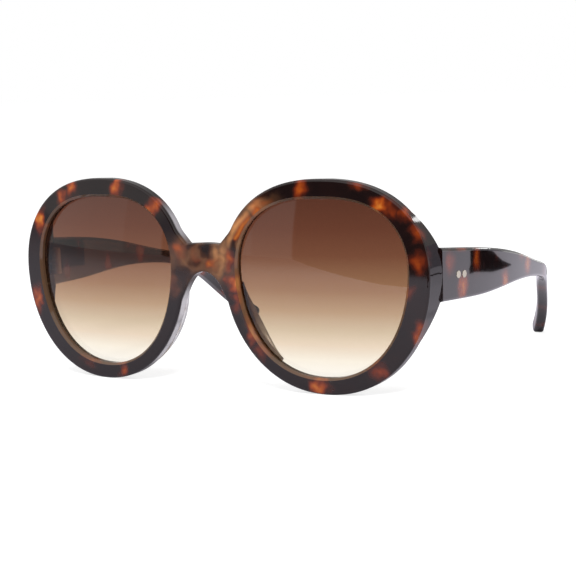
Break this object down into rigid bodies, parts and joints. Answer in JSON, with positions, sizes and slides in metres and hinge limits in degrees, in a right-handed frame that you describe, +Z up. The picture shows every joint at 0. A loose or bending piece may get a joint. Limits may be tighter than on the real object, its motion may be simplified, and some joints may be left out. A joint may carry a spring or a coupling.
{
  "type": "sunglasses",
  "caption": "Oversized round acetate sunglasses in dark tortoiseshell with brown gradient lenses, a low arched bridge and broad tapering temples on metal hinges.",
  "frame": {"origin": "on the table, under the middle of the open glasses", "axes": "+X to the wearer's left, +Y from the front back along the temples, +Z up"},
  "size_m": [0.1548, 0.1334, 0.0642],
  "materials": {
    "tortoise": "polished tortoiseshell acetate",
    "lens": "brown gradient tint",
    "hinge_metal": "satin nickel silver",
    "core_metal": "drawn wire",
    "rivet_metal": "polished pale gold"
  },
  "bodies": {
    "front": {"front_frame": "tortoise", "left_lens": "lens", "left_nose_pad": "tortoise", "left_front_hinge": "hinge_metal", "left_hinge_screw": "hinge_metal", "right_lens": "lens", "right_nose_pad": "tortoise", "right_front_hinge": "hinge_metal", "right_hinge_screw": "hinge_metal"},
    "left_arm": {"left_temple": "tortoise", "left_temple_hinge": "hinge_metal", "left_temple_core": "core_metal", "left_front_rivet": "rivet_metal", "left_rear_rivet": "rivet_metal"},
    "right_arm": {"right_temple": "tortoise", "right_temple_hinge": "hinge_metal", "right_temple_core": "core_metal", "right_front_rivet": "rivet_metal", "right_rear_rivet": "rivet_metal"}
  },
  "joints": [
    {"name": "left_temple_fold", "type": "hinge", "parent": "front", "child": "left_arm", "pos_m": [0.06665, -0.05049, 0.03542], "axis": [0, 0, 1], "range_deg": [0, 84]},
    {"name": "right_temple_fold", "type": "hinge", "parent": "front", "child": "right_arm", "pos_m": [-0.06665, -0.05049, 0.03542], "axis": [0, 0, -1], "range_deg": [0, 78]}
  ]
}
